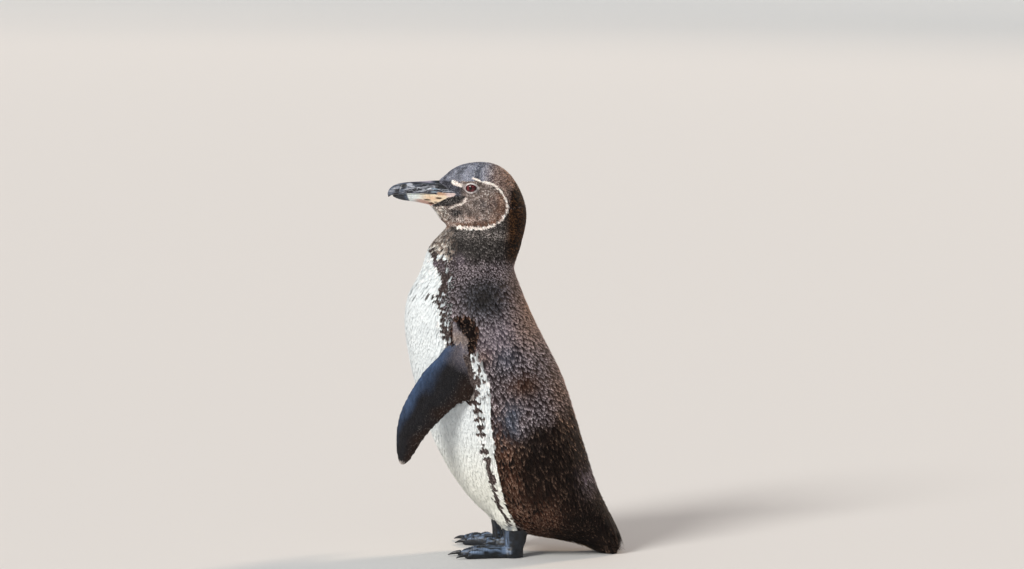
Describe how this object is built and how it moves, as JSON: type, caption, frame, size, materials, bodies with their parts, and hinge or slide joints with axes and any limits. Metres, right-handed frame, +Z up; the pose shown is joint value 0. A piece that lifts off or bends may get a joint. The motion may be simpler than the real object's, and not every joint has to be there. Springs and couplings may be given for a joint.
{
  "type": "galapagos penguin",
  "caption": "Life-size small banded penguin standing upright on webbed feet, slim hooked bill, flippers held off the body and a short tail resting on the floor",
  "frame": {"origin": "on the floor, in the bird's plane of symmetry, under the middle of its length from bill tip to tail", "axes": "+Z up, -Y the way the bill points, +X towards the bird's left side"},
  "size_m": [0.1655, 0.2353, 0.3985],
  "materials": {
    "plumage": "short overlapping feathers, black-brown above and white below",
    "flipper_scales": "tiny stiff scale-like feathers, charcoal with a pale hind edge",
    "foot_skin": "scaly black skin with a slight sheen",
    "bill_horn": "satin black horn in lengthwise plates, pale on the lower half",
    "claw_horn": "satin black horn",
    "eye": "wet, clear over a dark red-brown iris"
  },
  "bodies": {
    "root": {"head": "plumage", "neck": "plumage", "trunk": "plumage", "tail": "plumage", "flipper_left": "flipper_scales", "flipper_right": "flipper_scales", "leg_left": "foot_skin", "leg_right": "foot_skin", "foot_left": "foot_skin", "foot_right": "foot_skin", "claw_left_inner": "claw_horn", "claw_left_middle": "claw_horn", "claw_left_outer": "claw_horn", "claw_left_hind": "claw_horn", "claw_right_inner": "claw_horn", "claw_right_middle": "claw_horn", "claw_right_outer": "claw_horn", "claw_right_hind": "claw_horn", "bill_upper": "bill_horn", "bill_lower": "bill_horn", "eye_left": "eye", "eye_right": "eye"}
  },
  "joints": []
}
